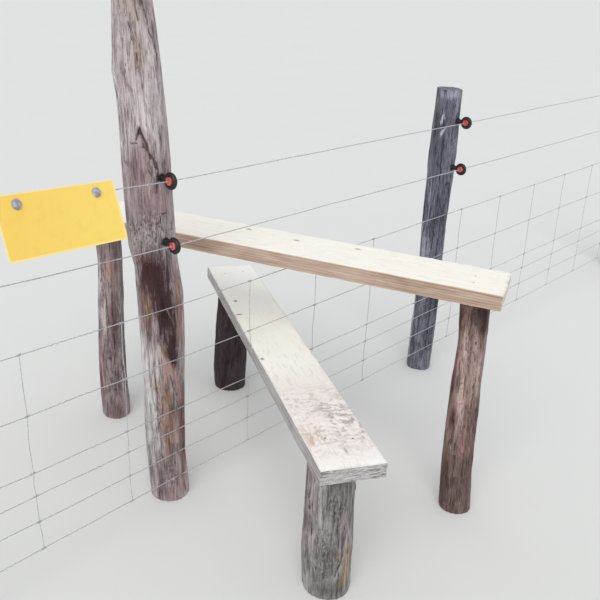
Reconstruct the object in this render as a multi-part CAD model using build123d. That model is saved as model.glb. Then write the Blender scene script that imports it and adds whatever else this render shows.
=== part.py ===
"""A step-over stile: two crossing plank treads on log legs, a tall hand post,
and the wire fence that the stile crosses, from ground level up.

Millimetres, +Z up. The origin is the centre of the hand post's foot, on the ground.
+X runs along the middle bay of the fence, from the hand post to the split post.
-Y is the side of the fence that carries the wires, the insulators and the sign.
"""
from build123d import *
import math
import os

# Treads: planks of sawn softwood, each on two log legs
LOWER_TREAD_LENGTH = 1345.0
LOWER_TREAD_WIDTH = 175.0
LOWER_TREAD_THICKNESS = 45.0
LOWER_TREAD_TOP = 481.5
LOWER_TREAD_CENTRE = (314.0, -128.0)
LOWER_TREAD_HEADING = -118.7
UPPER_TREAD_LENGTH = 1400.0
UPPER_TREAD_WIDTH = 200.0
UPPER_TREAD_THICKNESS = 50.0
UPPER_TREAD_TOP = 785.5
UPPER_TREAD_CENTRE = (366.6, -52.1)
UPPER_TREAD_HEADING = -66.6
EASED_EDGE = 2.5

# Legs: distance of each leg's head from its own end of the plank, log radius, and rake of the foot
LOWER_NEAR_LEG_INSET = 151.0
LOWER_FAR_LEG_INSET = 81.0
UPPER_NEAR_LEG_INSET = 85.0
UPPER_FAR_LEG_INSET = 90.0
LOWER_NEAR_LEG_RADIUS = 66.0
LOWER_FAR_LEG_RADIUS = 60.0
UPPER_NEAR_LEG_RADIUS = 45.0
UPPER_FAR_LEG_RADIUS = 46.0
LOWER_NEAR_LEG_RAKE = (6.0, -24.0)
LOWER_FAR_LEG_RAKE = (2.0, 2.0)
UPPER_NEAR_LEG_RAKE = (28.0, -38.0)
UPPER_FAR_LEG_RAKE = (14.0, -8.0)

# Bays of the fence
MIDDLE_BAY_LENGTH = 1345.0
LEFT_BAY_LENGTH = 1300.0
LEFT_BAY_HEADING = 185.6
RIGHT_BAY_LENGTH = 2000.0

# Fence wires: heights on the hand post, and how far each bay climbs to its other post
TOP_WIRE_HEIGHT = 1037.0
SECOND_WIRE_HEIGHT = 861.0
NET_WIRE_HEIGHTS = (92.0, 180.0, 262.0, 333.0, 502.0, 671.0)
LEFT_BAY_RISE = 63.0
MIDDLE_BAY_RISE = 32.0
RIGHT_BAY_RISE = 46.0
LINE_WIRE_RADIUS = 1.5
NET_WIRE_RADIUS = 1.25
WIRE_BITE = 0.8

# Stays of the netting, and the tail of the one that meets the lower tread
STAY_RADIUS = 1.0
STAY_SPACING = 300.0
LEFT_FIRST_STAY = 190.0
MIDDLE_FIRST_STAY = 285.0
RIGHT_FIRST_STAY = 110.0
TAIL_PAST_MIDDLE = 20.0
TAIL_RUN = 18.0
TAIL_DROP = 40.0

# Posts: height over the top wire, radius, and how far the head leans from over the foot
HAND_POST_OVER_WIRE = 603.0
HAND_POST_RADIUS = 61.0
HAND_POST_LEAN = (-104.0, 42.0)
SPLIT_POST_OVER_WIRE = 113.0
SPLIT_POST_RADIUS = 47.0
SPLIT_POST_LEAN = (-58.0, 0.0)
END_POST_OVER_WIRE = 108.0
END_POST_RADIUS = 52.0
END_POST_LEAN = (-20.0, 10.0)

# Ring insulators
STANDOFF = 36.0
RING_RADIUS = 23.0
RING_HOLE_RADIUS = 12.5
RING_WIDTH = 14.0
RING_EDGE = 3.0
NECK_RADIUS = 8.5
FLANGE_RADIUS = 12.0
FLANGE_THICKNESS = 5.0
SEAT_DEPTH = 4.0
CORE_WIDTH = 18.0
CORE_EDGE = 2.5

# Sign plate
SIGN_WIDTH = 318.0
SIGN_HEIGHT = 144.0
SIGN_THICKNESS = 2.0
SIGN_CORNER = 7.0
SIGN_START = 183.0
SIGN_ABOVE_WIRE = 24.0
SIGN_TILT = 24.5
BUTTON_RADIUS = 12.0
BUTTON_HEIGHT = 8.0
BUTTON_INSET = 56.0
BUTTON_SPACING = 210.0
CLIP_RADIUS = 8.0
CLIP_DEPTH = 7.0

# Clearance of a piece that isn't pressed home
CLEARANCE = 0.3

parts = {}


def heading(angle):
    """A level unit vector at an angle from +X, in degrees."""
    return Vector(math.cos(math.radians(angle)), math.sin(math.radians(angle)), 0)


# Logs

def round_section(centre, radius, turn, waviness=0.025, sides=16):
    """A cross-section of a log: nearly round, with low waves round its edge."""
    outline = []
    for side in range(sides):
        bearing = 2 * math.pi * side / sides
        waves = math.cos(2 * bearing + turn) + 0.6 * math.cos(3 * bearing - 1.7 * turn)
        reach = radius * (1 + waviness * waves)
        outline.append(centre + Vector(math.cos(bearing), math.sin(bearing), 0) * reach)
    return make_face(Polyline(*outline, close=True))


def cleft_section(centre, radius, turn, boxiness=0.62, lopsidedness=0.05, sides=16):
    """A cross-section of a split post: a blunt square, broader on one side."""
    outline = []
    for side in range(sides):
        bearing = 2 * math.pi * side / sides
        square = (math.cos(bearing - turn) ** 4 + math.sin(bearing - turn) ** 4) ** -0.25
        share = 1 - boxiness + boxiness * square + lopsidedness * math.cos(bearing - turn)
        outline.append(centre + Vector(math.cos(bearing), math.sin(bearing), 0) * radius * share)
    return make_face(Polyline(*outline, close=True))


def log(foot, head, radius, profile, turn, cross_section=round_section):
    """A log in straight runs from foot to head. Each profile entry is a share of the height,
    a share of the radius, and how far the heart stands off the straight line there."""
    sections = []
    for height_share, radius_share, off_x, off_y in profile:
        centre = foot + (head - foot) * height_share + Vector(off_x, off_y, 0)
        sections.append(cross_section(centre, radius * radius_share, turn + 0.5 * height_share))
    return loft(sections, ruled=True)


# Share of height, share of radius, offset of the heart in X and Y
HAND_POST_PROFILE = (
    (0.00, 0.96, 0, 0), (0.10, 0.96, -2, 2), (0.22, 0.98, 3, -3), (0.32, 1.03, 8, -8),
    (0.42, 1.05, 10, -10), (0.475, 0.98, 6, -7), (0.51, 1.06, 0, -1), (0.60, 1.05, 1, -2),
    (0.69, 1.01, 2, -3), (0.755, 0.97, 1, -1), (0.79, 0.99, -3, 3), (0.84, 0.91, -2, 2),
    (0.90, 0.79, -3, 2), (1.00, 0.74, 0, 0))
SPLIT_POST_PROFILE = (
    (0.00, 1.04, 0, 0), (0.30, 1.02, 4, -2), (0.55, 0.97, -1, 2), (0.80, 1.05, 0, -1), (1.00, 0.96, 0, 0))
END_POST_PROFILE = (
    (0.00, 1.03, 0, 0), (0.35, 1.00, 3, 4), (0.70, 0.98, -2, 2), (1.00, 0.92, 0, 0))
STOUT_LEG_PROFILE = (
    (0.00, 0.99, 0, 0), (0.28, 1.05, -2, 2), (0.55, 1.00, 0, 2), (0.80, 0.97, 0, 0), (1.00, 0.96, 0, 0))
SLIM_LEG_PROFILE = (
    (0.00, 1.09, 0, 0), (0.20, 1.05, -4, 4), (0.42, 1.01, -3, 4), (0.62, 0.98, 0, 2),
    (0.80, 0.90, 3, -1), (1.00, 0.97, 0, 0))


# Treads and their legs

def plank(centre, angle, top, size):
    """A sawn plank with its edges eased; its top face is at the given height."""
    length, width, thickness = size
    board = Box(length, width, thickness)
    board = chamfer(board.edges(), EASED_EDGE)
    return Pos(centre[0], centre[1], top - thickness / 2) * Rot(0, 0, angle) * board


def leg_under(tread_end, inward, inset, underside, rake):
    """Foot and head of a leg that stands under a plank, inset from the plank's end."""
    head = tread_end + inward * inset + Vector(0, 0, underside)
    foot = Vector(head.X + rake[0], head.Y + rake[1], 0)
    return foot, head


lower_along = heading(LOWER_TREAD_HEADING)
lower_middle = Vector(*LOWER_TREAD_CENTRE)
lower_near_end = lower_middle + lower_along * (LOWER_TREAD_LENGTH / 2)
lower_far_end = lower_middle - lower_along * (LOWER_TREAD_LENGTH / 2)
lower_underside = LOWER_TREAD_TOP - LOWER_TREAD_THICKNESS
parts["lower_tread"] = plank(
    LOWER_TREAD_CENTRE, LOWER_TREAD_HEADING, LOWER_TREAD_TOP,
    (LOWER_TREAD_LENGTH, LOWER_TREAD_WIDTH, LOWER_TREAD_THICKNESS))
foot, head = leg_under(
    lower_near_end, -lower_along, LOWER_NEAR_LEG_INSET, lower_underside, LOWER_NEAR_LEG_RAKE)
parts["lower_tread_near_leg"] = log(foot, head, LOWER_NEAR_LEG_RADIUS, STOUT_LEG_PROFILE, 0.4)
foot, head = leg_under(
    lower_far_end, lower_along, LOWER_FAR_LEG_INSET, lower_underside, LOWER_FAR_LEG_RAKE)
parts["lower_tread_far_leg"] = log(foot, head, LOWER_FAR_LEG_RADIUS, STOUT_LEG_PROFILE, 2.3)

upper_along = heading(UPPER_TREAD_HEADING)
upper_middle = Vector(*UPPER_TREAD_CENTRE)
upper_near_end = upper_middle + upper_along * (UPPER_TREAD_LENGTH / 2)
upper_far_end = upper_middle - upper_along * (UPPER_TREAD_LENGTH / 2)
upper_underside = UPPER_TREAD_TOP - UPPER_TREAD_THICKNESS
parts["upper_tread"] = plank(
    UPPER_TREAD_CENTRE, UPPER_TREAD_HEADING, UPPER_TREAD_TOP,
    (UPPER_TREAD_LENGTH, UPPER_TREAD_WIDTH, UPPER_TREAD_THICKNESS))
foot, head = leg_under(
    upper_near_end, -upper_along, UPPER_NEAR_LEG_INSET, upper_underside, UPPER_NEAR_LEG_RAKE)
parts["upper_tread_near_leg"] = log(foot, head, UPPER_NEAR_LEG_RADIUS, SLIM_LEG_PROFILE, 1.1)
foot, head = leg_under(
    upper_far_end, upper_along, UPPER_FAR_LEG_INSET, upper_underside, UPPER_FAR_LEG_RAKE)
parts["upper_tread_far_leg"] = log(foot, head, UPPER_FAR_LEG_RADIUS, SLIM_LEG_PROFILE, 3.6)


# Posts

post_rise = {
    "hand_post": 0.0,
    "split_post": MIDDLE_BAY_RISE,
    "left_end_post": LEFT_BAY_RISE,
    "right_end_post": MIDDLE_BAY_RISE + RIGHT_BAY_RISE,
}


def post(name, foot, over_wire, radius, lean, profile, turn, cross_section=round_section):
    """A fence post that stands a given height over the top wire where that wire meets it."""
    head = foot + Vector(*lean, TOP_WIRE_HEIGHT + post_rise[name] + over_wire)
    return log(foot, head, radius, profile, turn, cross_section)


def end_post(name, foot, turn):
    return post(name, foot, END_POST_OVER_WIRE, END_POST_RADIUS, END_POST_LEAN, END_POST_PROFILE, turn)


posts = {
    "hand_post": post(
        "hand_post", Vector(0, 0, 0), HAND_POST_OVER_WIRE, HAND_POST_RADIUS, HAND_POST_LEAN,
        HAND_POST_PROFILE, 0.3),
    "split_post": post(
        "split_post", Vector(MIDDLE_BAY_LENGTH, 0, 0), SPLIT_POST_OVER_WIRE, SPLIT_POST_RADIUS,
        SPLIT_POST_LEAN, SPLIT_POST_PROFILE, 0.5, cleft_section),
    "left_end_post": end_post("left_end_post", heading(LEFT_BAY_HEADING) * LEFT_BAY_LENGTH, 2.0),
    "right_end_post": end_post(
        "right_end_post", Vector(MIDDLE_BAY_LENGTH + RIGHT_BAY_LENGTH, 0, 0), 5.1),
}
bays = (
    ("left_bay", "hand_post", "left_end_post", LEFT_FIRST_STAY),
    ("middle_bay", "hand_post", "split_post", MIDDLE_FIRST_STAY),
    ("right_bay", "split_post", "right_end_post", RIGHT_FIRST_STAY),
)


def wire_side(name, height):
    """The point of a post's wire side where a wire meets it, at a height on the hand post."""
    slice_of_post = section(posts[name], section_by=Plane.XY.offset(height + post_rise[name]))
    box = slice_of_post.bounding_box()
    middle_x = (box.min.X + box.max.X) / 2
    ray = Line((middle_x, box.min.Y, box.min.Z), (middle_x, box.max.Y, box.min.Z))
    inside = ray & slice_of_post
    return Vector(middle_x, inside.bounding_box().min.Y, box.min.Z)


# Ring insulators

def disc(radius, width, sides=20):
    """A disc of few sides whose axis is Z, with its middle at the origin."""
    return extrude(RegularPolygon(radius, sides), width / 2, both=True)


def blunted(blank, size):
    """A disc with the rims of both its faces chamfered."""
    ends = blank.faces().sort_by(Axis.Z)
    return chamfer(ends[0].edges() + ends[-1].edges(), size)


def insulator(centre, reach):
    """A ring on a neck that is seated in the post, and the core in the ring that grips
    the wire. The ring's axis is along X and its neck runs towards +Y."""
    across = Pos(centre) * Rot(0, 90, 0)
    to_post = Pos(centre) * Rot(-90, 0, 0)
    neck_length = reach + SEAT_DEPTH
    flange_length = FLANGE_THICKNESS + SEAT_DEPTH
    ring = across * blunted(disc(RING_RADIUS, RING_WIDTH), RING_EDGE)
    neck = to_post * Pos(0, 0, neck_length / 2) * disc(NECK_RADIUS, neck_length, 12)
    flange = to_post * Pos(0, 0, neck_length - flange_length / 2) * disc(FLANGE_RADIUS, flange_length, 12)
    hole = across * disc(RING_HOLE_RADIUS, 2 * RING_WIDTH)
    core = across * blunted(disc(RING_HOLE_RADIUS, CORE_WIDTH), CORE_EDGE)
    return ring + neck + flange - hole, core


def bar(start, end, radius, sides=6):
    """A straight bar of few sides between two points."""
    run = end - start
    plane = Plane(origin=start, z_dir=run.normalized())
    return extrude(plane * RegularPolygon(radius, sides), run.length)


def shortened(start, end):
    """Both ends of a run, drawn in by the clearance."""
    way = (end - start).normalized()
    return start + way * CLEARANCE, end - way * CLEARANCE


line_wires = {"top_wire": TOP_WIRE_HEIGHT, "second_wire": SECOND_WIRE_HEIGHT}
ring_centres = {}
for name in posts:
    rings = []
    cores = []
    for wire, height in line_wires.items():
        centre = wire_side(name, height) - Vector(0, STANDOFF, 0)
        ring_centres[name, wire] = centre
        ring, core = insulator(centre, STANDOFF)
        rings.append(ring)
        cores.append(core)
    parts[name + "_insulators"] = rings
    parts[name + "_insulator_cores"] = cores

for bay, near, far, _ in bays:
    for wire in line_wires:
        start, end = shortened(ring_centres[near, wire], ring_centres[far, wire])
        parts[wire + "_" + bay] = bar(start, end, LINE_WIRE_RADIUS, 8)
        grip = bar(start, end, LINE_WIRE_RADIUS + CLEARANCE, 8)
        for name in (near, far):
            key = name + "_insulator_cores"
            parts[key] = [core - grip for core in parts[key]]


# Netting

def netting(runs, first_stay, open_level=None, stay_sides=4):
    """Line wires between two posts, and stays tied from each wire to the next.
    A tread passes under the first stay at the open level, which is left without its tie."""
    bars = [bar(start, end, NET_WIRE_RADIUS) for start, end in runs]
    span = min((end - start).length for start, end in runs)
    count = int((span - first_stay - STAY_RADIUS) // STAY_SPACING) + 1
    for stay in range(count):
        ties = [tie_on(run, first_stay + stay * STAY_SPACING) for run in runs]
        for level in range(len(ties) - 1):
            if stay > 0 or level != open_level:
                bars.append(bar(ties[level], ties[level + 1], STAY_RADIUS, stay_sides))
    return bars[0].fuse(*bars[1:])


def tie_on(run, along):
    """The point on a wire at a distance from its start."""
    start, end = run
    return start + (end - start).normalized() * along


net_ends = {}
for name in posts:
    on_post = [wire_side(name, height) for height in NET_WIRE_HEIGHTS]
    net_ends[name] = [point - Vector(0, NET_WIRE_RADIUS - WIRE_BITE, 0) for point in on_post]

wires_under_tread = [height for height in NET_WIRE_HEIGHTS if height < LOWER_TREAD_TOP]
for bay, near, far, first_stay in bays:
    runs = [shortened(start, end) for start, end in zip(net_ends[near], net_ends[far])]
    if bay != "middle_bay":
        parts["netting_" + bay] = netting(runs, first_stay)
        continue
    # The stay that meets the lower tread is bent over the plank's edge and down its side
    parts["netting_" + bay] = netting(runs, first_stay, len(wires_under_tread) - 1)
    outward = Vector(lower_along.Y, -lower_along.X, 0)
    over_edge = lower_middle + lower_along * TAIL_PAST_MIDDLE
    over_edge += outward * (LOWER_TREAD_WIDTH / 2 + STAY_RADIUS + CLEARANCE)
    over_edge += Vector(0, 0, LOWER_TREAD_TOP)
    tail_end = over_edge + lower_along * TAIL_RUN - Vector(0, 0, TAIL_DROP)
    tie = tie_on(runs[len(wires_under_tread)], first_stay)
    tied_at = tie + (over_edge - tie).normalized() * NET_WIRE_RADIUS
    parts["bent_stay"] = bar(tied_at, over_edge, STAY_RADIUS) + bar(over_edge, tail_end, STAY_RADIUS)
    parts["bent_stay"] -= parts["netting_" + bay]

for name, whole in posts.items():
    cutters = list(parts[name + "_insulators"])
    cutters += [parts["netting_" + bay] for bay, near, far, _ in bays if name in (near, far)]
    for cutter in cutters:
        whole = whole - cutter
    parts[name] = whole


# Sign on the top wire of the left bay

wire_start = ring_centres["hand_post", "top_wire"]
wire_way = (ring_centres["left_end_post", "top_wire"] - wire_start).normalized()
outward = Vector(-wire_way.Y, wire_way.X, 0).normalized()
upward = wire_way.cross(outward)
# The plate's foot stands out from the fence, as its clips hold it on the wire
lean = math.radians(SIGN_TILT)
sign_plane = Plane(
    origin=wire_start, x_dir=wire_way, z_dir=outward * math.cos(lean) + upward * math.sin(lean))


def dome(radius, height, tiers=3, sides=20, steepest=83):
    """A low dome of flat facets that stands on the XY plane: tapered tiers, one on another.
    Each tier's rim lies on an ellipse, up to the steepest angle from its middle."""
    angles = [math.radians(steepest * tier / tiers) for tier in range(tiers + 1)]
    flatness = height / math.sin(angles[-1])
    tier_base = RegularPolygon(radius, sides)
    layers = []
    for below, above in zip(angles, angles[1:]):
        rise = flatness * (math.sin(above) - math.sin(below))
        inset = radius * (math.cos(below) - math.cos(above)) * math.cos(math.pi / sides)
        layers.append(extrude(tier_base, rise, taper=math.degrees(math.atan2(inset, rise))))
        tier_base = layers[-1].faces().sort_by(Axis.Z)[-1]
    return layers[0].fuse(*layers[1:])


plate_back = LINE_WIRE_RADIUS + CLEARANCE
plate_front = plate_back + SIGN_THICKNESS
plate_middle = Pos(SIGN_START + SIGN_WIDTH / 2, SIGN_HEIGHT / 2 - SIGN_ABOVE_WIRE, plate_back)
outline = RectangleRounded(SIGN_WIDTH, SIGN_HEIGHT, SIGN_CORNER)
parts["sign_plate"] = sign_plane * plate_middle * extrude(outline, SIGN_THICKNESS)
parts["sign_buttons"] = []
parts["sign_clips"] = []
for place in (SIGN_START + BUTTON_INSET, SIGN_START + BUTTON_INSET + BUTTON_SPACING):
    parts["sign_buttons"].append(sign_plane * Pos(place, 0, plate_front) * dome(BUTTON_RADIUS, BUTTON_HEIGHT))
    clip = Pos(0, 0, plate_back - CLIP_DEPTH / 2) * disc(CLIP_RADIUS, CLIP_DEPTH)
    groove = Box(4 * CLIP_RADIUS, 2 * plate_back, 2 * plate_back)
    parts["sign_clips"].append(sign_plane * Pos(place, 0, 0) * (clip - groove))


# One file for each node

os.makedirs("parts", exist_ok=True)
for name, shape in parts.items():
    shapes = shape if isinstance(shape, list) else [shape]
    solids = [solid for item in shapes for solid in item.solids()]
    whole = solids[0] if len(solids) == 1 else Compound(children=solids)
    export_step(whole, os.path.join("parts", name + ".step"))
    print(name, len(solids), "solids,", round(sum(solid.volume for solid in solids) / 1000), "cm3")
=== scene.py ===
"""A wooden stile in a wire fence: two crossing plank treads on log legs, a hand post, netting,
line wires on ring insulators, and a bare yellow sign plate. Metres, in the part's own frame."""
import bpy
import math
import numpy as np
from mathutils import Matrix, Vector, noise


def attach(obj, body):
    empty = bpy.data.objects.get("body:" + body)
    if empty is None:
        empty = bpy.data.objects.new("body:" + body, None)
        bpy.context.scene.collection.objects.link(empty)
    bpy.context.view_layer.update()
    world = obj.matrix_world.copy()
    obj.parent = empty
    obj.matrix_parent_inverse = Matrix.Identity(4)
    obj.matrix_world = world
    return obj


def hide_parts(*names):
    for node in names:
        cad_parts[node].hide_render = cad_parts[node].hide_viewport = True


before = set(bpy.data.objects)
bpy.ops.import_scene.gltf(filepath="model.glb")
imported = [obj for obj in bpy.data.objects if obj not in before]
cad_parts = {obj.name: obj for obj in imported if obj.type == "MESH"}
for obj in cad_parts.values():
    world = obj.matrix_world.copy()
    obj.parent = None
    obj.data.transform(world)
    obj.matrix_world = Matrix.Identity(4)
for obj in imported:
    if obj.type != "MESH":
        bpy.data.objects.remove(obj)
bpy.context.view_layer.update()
noise.seed_set(5)  # without it the wires would waver differently in each run

# Logs of the stile's own model: foot, head and radius in metres
LOGS = {
    "hand_post": ((0.0, 0.0, 0.0), (-0.104, 0.042, 1.640), 0.061),
    "split_post": ((1.345, 0.0, 0.0), (1.287, 0.0, 1.182), 0.047),
    "left_end_post": ((-1.2938, -0.1269, 0.0), (-1.3138, -0.1169, 1.208), 0.052),
    "right_end_post": ((3.345, 0.0, 0.0), (3.325, 0.010, 1.223), 0.052),
    "lower_tread_near_leg": ((0.0696, -0.6094, 0.0), (0.0636, -0.5854, 0.4365), 0.066),
    "lower_tread_far_leg": ((0.6001, 0.3928, 0.0), (0.5981, 0.3908, 0.4365), 0.060),
    "upper_tread_near_leg": ((0.6388, -0.6545, 0.0), (0.6108, -0.6165, 0.7355), 0.045),
    "upper_tread_far_leg": ((0.1383, 0.4997, 0.0), (0.1243, 0.5077, 0.7355), 0.046),
}
# Planks: middle of the top face, heading in degrees, and length, width and thickness
PLANKS = {
    "lower_tread": ((0.314, -0.128, 0.4815), -118.7, (1.345, 0.175, 0.045)),
    "upper_tread": ((0.3666, -0.0521, 0.7855), -66.6, (1.400, 0.200, 0.050)),
}


# Working in edit and object mode

def new_object(name, data):
    """An object in the scene with these data, or an empty one without."""
    made = bpy.data.objects.new(name, data)
    bpy.context.scene.collection.objects.link(made)
    return made


def select_only(*pieces):
    """Nothing else is selected, and the last piece is active."""
    bpy.ops.object.select_all(action="DESELECT")
    for piece in pieces:
        piece.select_set(True)
        bpy.context.view_layer.objects.active = piece


def settle(piece, name):
    """The piece gets its name, and its place and turn go into its mesh."""
    select_only(piece)
    bpy.ops.object.transform_apply(location=True, rotation=True, scale=True)
    piece.name = name
    piece.data.name = name
    return piece


def edit_all(piece):
    """Edit mode on a piece, all of it selected."""
    select_only(piece)
    bpy.ops.object.mode_set(mode="EDIT")
    bpy.ops.mesh.select_all(action="SELECT")


def clear_selection(kind):
    """Nothing of the active piece is selected, and the kind, FACE or EDGE, is selected next."""
    bpy.ops.object.mode_set(mode="EDIT")
    bpy.ops.mesh.select_mode(type=kind)
    bpy.ops.mesh.select_all(action="DESELECT")
    bpy.ops.object.mode_set(mode="OBJECT")


def select_faces(piece, chosen):
    """In edit mode, selects the faces for which a test holds."""
    clear_selection("FACE")
    for face in piece.data.polygons:
        face.select = chosen(face)
    bpy.ops.object.mode_set(mode="EDIT")


def select_edges(piece, chosen):
    """In edit mode, selects the edges for which a test on their two ends holds."""
    clear_selection("EDGE")
    for edge in piece.data.edges:
        first, second = (piece.data.vertices[place].co for place in edge.vertices)
        edge.select = chosen(first, second)
    bpy.ops.object.mode_set(mode="EDIT")


def apply_modifier(piece, kind, **settings):
    """Adds a modifier with these settings and applies it."""
    select_only(piece)
    modifier = piece.modifiers.new(kind.title(), kind)
    for setting, value in settings.items():
        setattr(modifier, setting, value)
    bpy.ops.object.modifier_apply(modifier=modifier.name)


def cut(piece, cutter):
    """Takes a cutter's shape out of a piece, and removes the cutter."""
    apply_modifier(piece, "BOOLEAN", operation="DIFFERENCE", solver="EXACT", object=cutter)
    bpy.data.objects.remove(cutter)


def smooth(piece, angle):
    """Smooth shading, apart from edges sharper than an angle in degrees."""
    select_only(piece)
    bpy.ops.object.shade_smooth_by_angle(angle=math.radians(angle))


def box(size, location=(0, 0, 0), turn=0):
    """A box of a size round a location, turned about Z by degrees."""
    bpy.ops.mesh.primitive_cube_add(size=1, location=location, rotation=(0, 0, math.radians(turn)))
    piece = bpy.context.active_object
    piece.scale = size
    return piece


def cylinder(radius, depth, sides, turn=(0, 0, 0), location=(0, 0, 0)):
    bpy.ops.mesh.primitive_cylinder_add(vertices=sides, radius=radius, depth=depth,
                                        location=location, rotation=turn)
    return bpy.context.active_object


def torus(radius, thickness, steps, sides, turn=(0, 0, 0), location=(0, 0, 0)):
    """A ring by its radius and the radius of its section."""
    bpy.ops.mesh.primitive_torus_add(major_radius=radius, minor_radius=thickness, major_segments=steps,
                                     minor_segments=sides, location=location, rotation=turn)
    return bpy.context.active_object


def copy_of_node(node, name):
    """A piece of its own with a CAD node's shape, its loose triangles merged."""
    piece = new_object(name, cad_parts[node].data.copy())
    piece.data.materials.clear()
    edit_all(piece)
    bpy.ops.mesh.remove_doubles(threshold=0.00001)
    bpy.ops.object.mode_set(mode="OBJECT")
    return piece


def joined(pieces, name):
    """Several pieces as one mesh."""
    select_only(*pieces)
    bpy.ops.object.join()
    return settle(bpy.context.view_layer.objects.active, name)


def copies(pattern, name, places):
    """One mesh with a copy of the pattern at each place, a 4x4 matrix. The pattern stands at the
    origin with its turn in its mesh, and is removed."""
    made = []
    for place in places:
        piece = new_object(pattern.name, pattern.data.copy())
        piece.matrix_world = place
        made.append(piece)
    bpy.data.objects.remove(pattern)
    return joined(made, name)


def rows_of(piece, what="co"):
    """The piece's points, or their normals, as an array of rows."""
    flat = np.empty(len(piece.data.vertices) * 3)
    piece.data.vertices.foreach_get(what, flat)
    return flat.reshape(-1, 3)


def paint(piece, attribute, values):
    """Stores a value at each point, for the material to read."""
    layer = piece.data.attributes.new(attribute, "FLOAT", "POINT")
    layer.data.foreach_set("value", np.asarray(values, dtype=np.float32))


def weigh(piece, group_name, values, steps=24):
    """Gives the points their weights in a vertex group, in a few dozen steps."""
    group = piece.vertex_groups.new(name=group_name)
    level = np.rint(np.clip(values, 0, 1) * steps).astype(int)
    for step in range(1, steps + 1):
        chosen = np.nonzero(level == step)[0].tolist()
        if chosen:
            group.add(chosen, step / steps, "REPLACE")


def dress(piece, material, node):
    """The piece rides on the stile, stands for its CAD node and wears its material."""
    piece.data.materials.clear()
    piece.data.materials.append(material)
    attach(piece, "root")
    if node:
        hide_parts(node)


def ease(value, low, high):
    """A smooth step from 0 at low to 1 at high, on arrays."""
    share = np.clip((value - low) / (high - low), 0, 1)
    return share * share * (3 - 2 * share)


# Node trees

def socket(tree, target, value):
    if isinstance(value, bpy.types.NodeSocket):
        tree.links.new(value, target)
    else:
        target.default_value = value


def add_node(tree, kind, inputs, **settings):
    """A node with its settings, and its inputs by name or number."""
    node = tree.nodes.new(kind)
    for setting, value in settings.items():
        setattr(node, setting, value)
    for key, value in inputs.items():
        socket(tree, node.inputs[key], value)
    return node


def colour(red, green, blue):
    """A linear colour from 0 to 255 screen values."""
    shares = []
    for value in (red, green, blue):
        share = value / 255
        shares.append(share / 12.92 if share <= 0.04045 else ((share + 0.055) / 1.055) ** 2.4)
    return (*shares, 1.0)


def scaled(tone, share):
    """A colour made darker or lighter by a share."""
    return (*(min(1.0, value * share) for value in tone[:3]), 1.0)


def seen_from(tree, vector, origin=(0, 0, 0), turn=(0, 0, 0), stretch=(1, 1, 1)):
    """A place seen from an origin with a turn, for a pattern stretched along the axes."""
    node = add_node(tree, "ShaderNodeMapping", {
        "Vector": vector, "Location": origin, "Rotation": turn, "Scale": stretch}, vector_type="TEXTURE")
    return node.outputs["Vector"]


def place_in(tree, origin=(0, 0, 0), turn=(0, 0, 0)):
    """Object coordinates seen from an origin, and turned with the piece."""
    return seen_from(tree, tree.nodes.new("ShaderNodeTexCoord").outputs["Object"], origin, turn)


def grains(tree, vector, scale, detail=4.0, rough=0.55, warp=0.0, stretch=None):
    """Soft noise from 0 to 1."""
    node = add_node(tree, "ShaderNodeTexNoise", {
        "Vector": seen_from(tree, vector, stretch=stretch) if stretch else vector,
        "Scale": scale, "Detail": detail, "Roughness": rough, "Distortion": warp})
    return node.outputs["Fac"]


def levels(tree, value, low, high, to_low=0.0, to_high=1.0):
    """Spreads the part of a value between two levels, and clamps the rest."""
    node = add_node(tree, "ShaderNodeMapRange", {
        0: value, 1: low, 2: high, 3: to_low, 4: to_high}, clamp=True)
    return node.outputs[0]


def reckon(tree, how, first, second=0.0):
    node = add_node(tree, "ShaderNodeMath", {0: first, 1: second}, operation=how)
    return node.outputs[0]


def product(tree, first, second):
    return reckon(tree, "MULTIPLY", first, second)


def size_of(tree, value):
    return reckon(tree, "ABSOLUTE", value)


def weighted(tree, *parts):
    """The sum of values, each times its weight."""
    total = 0.0
    for value, weight in parts:
        node = add_node(tree, "ShaderNodeMath", {0: value, 1: weight, 2: total}, operation="MULTIPLY_ADD")
        total = node.outputs[0]
    return total


def zone(tree, value, low, high, soft):
    """1 between two values, with soft ends outside them."""
    return product(tree, levels(tree, value, low - soft, low), levels(tree, value, high + soft, high))


def tint(tree, share, under, over, blend="MIX"):
    """One colour laid over another by a share."""
    node = add_node(tree, "ShaderNodeMix", {0: share, 6: under, 7: over},
                    data_type="RGBA", blend_type=blend, clamp_factor=True)
    return node.outputs[2]


def lay(tree, base, tone, value, low, high, amount=1.0, within=None, blend="MIX"):
    """A base with a tone over it, from none where a value is at low to an amount where it is at
    high, and only within another value if one is given."""
    share = levels(tree, value, low, high, 0.0, amount)
    if within is not None:
        share = product(tree, share, within)
    return tint(tree, share, base, tone, blend)


def ramp(tree, value, *tones):
    """A colour that runs through three tones as a value goes from 0 to 1."""
    node = add_node(tree, "ShaderNodeValToRGB", {"Fac": value})
    elements = node.color_ramp.elements
    elements[0].color = tones[0]
    elements[1].color = tones[2]
    elements.new(0.5).color = tones[1]
    return node.outputs["Color"]


def painted(tree, attribute):
    return add_node(tree, "ShaderNodeAttribute", {}, attribute_name=attribute).outputs["Fac"]


def new_material(name):
    """A new material and its node tree."""
    material = bpy.data.materials.new(name)
    material.use_nodes = True
    return material, material.node_tree


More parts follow.
